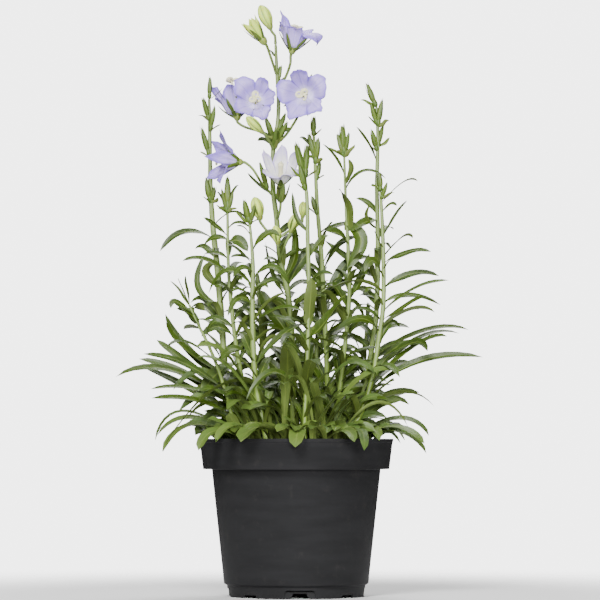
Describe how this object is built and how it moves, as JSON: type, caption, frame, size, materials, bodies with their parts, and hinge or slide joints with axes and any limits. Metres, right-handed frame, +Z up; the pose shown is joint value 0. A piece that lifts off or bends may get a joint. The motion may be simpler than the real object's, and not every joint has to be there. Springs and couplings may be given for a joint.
{
  "type": "potted bellflower",
  "caption": "Clump of flowering bellflower with narrow leaves, lavender bell flowers and buds, growing in a round black nursery pot filled with compost.",
  "frame": {"origin": "on the pot's axis at the level of its foot, which is within a few millimetres of the bottom centre of the whole plant's box", "axes": "+Z up along the pot's axis; -Y towards the side from which most open flowers show; +X to the right as seen from that side"},
  "size_m": [0.358, 0.2982, 0.58],
  "materials": {
    "pot_plastic": "satin",
    "compost": "matte",
    "shoot": "satin",
    "leaf": "satin",
    "sepals": "satin",
    "petals": "matte",
    "pistil": "matte",
    "bud": "satin"
  },
  "bodies": {
    "root": {"basal_leaf_01": "leaf", "basal_leaf_02": "leaf", "basal_leaf_03": "leaf", "basal_leaf_04": "leaf", "basal_leaf_05": "leaf", "basal_leaf_06": "leaf", "basal_leaf_07": "leaf", "basal_leaf_08": "leaf", "basal_leaf_09": "leaf", "basal_leaf_10": "leaf", "basal_leaf_11": "leaf", "basal_leaf_12": "leaf", "basal_leaf_13": "leaf", "basal_leaf_14": "leaf", "basal_leaf_15": "leaf", "basal_leaf_16": "leaf", "basal_leaf_17": "leaf", "bud_1": "bud", "bud_2": "bud", "bud_3": "bud", "bud_4": "bud", "bud_5": "bud", "bud_6": "bud", "bud_7": "bud", "compost": "compost", "flower_1_calyx": "sepals", "flower_1_petals": "petals", "flower_1_pistil": "pistil", "flower_2_calyx": "sepals", "flower_2_petals": "petals", "flower_2_pistil": "pistil", "flower_3_calyx": "sepals", "flower_3_petals": "petals", "flower_3_pistil": "pistil", "flower_4_calyx": "sepals", "flower_4_petals": "petals", "flower_4_pistil": "pistil", "flower_5_calyx": "sepals", "flower_5_petals": "petals", "flower_5_pistil": "pistil", "flower_6_calyx": "sepals", "flower_6_petals": "petals", "flower_6_pistil": "pistil", "pot": "pot_plastic", "shoot_back_left": "shoot", "shoot_back_middle": "shoot", "shoot_back_right": "shoot", "shoot_far_right": "shoot", "shoot_front": "shoot", "shoot_low_left": "shoot", "shoot_main": "shoot", "shoot_pale_left": "shoot", "shoot_right_front": "shoot", "shoot_right_middle": "shoot", "shoot_right_tall": "shoot", "shoot_slim_left": "shoot", "shoot_tall_left": "shoot"}
  },
  "joints": []
}
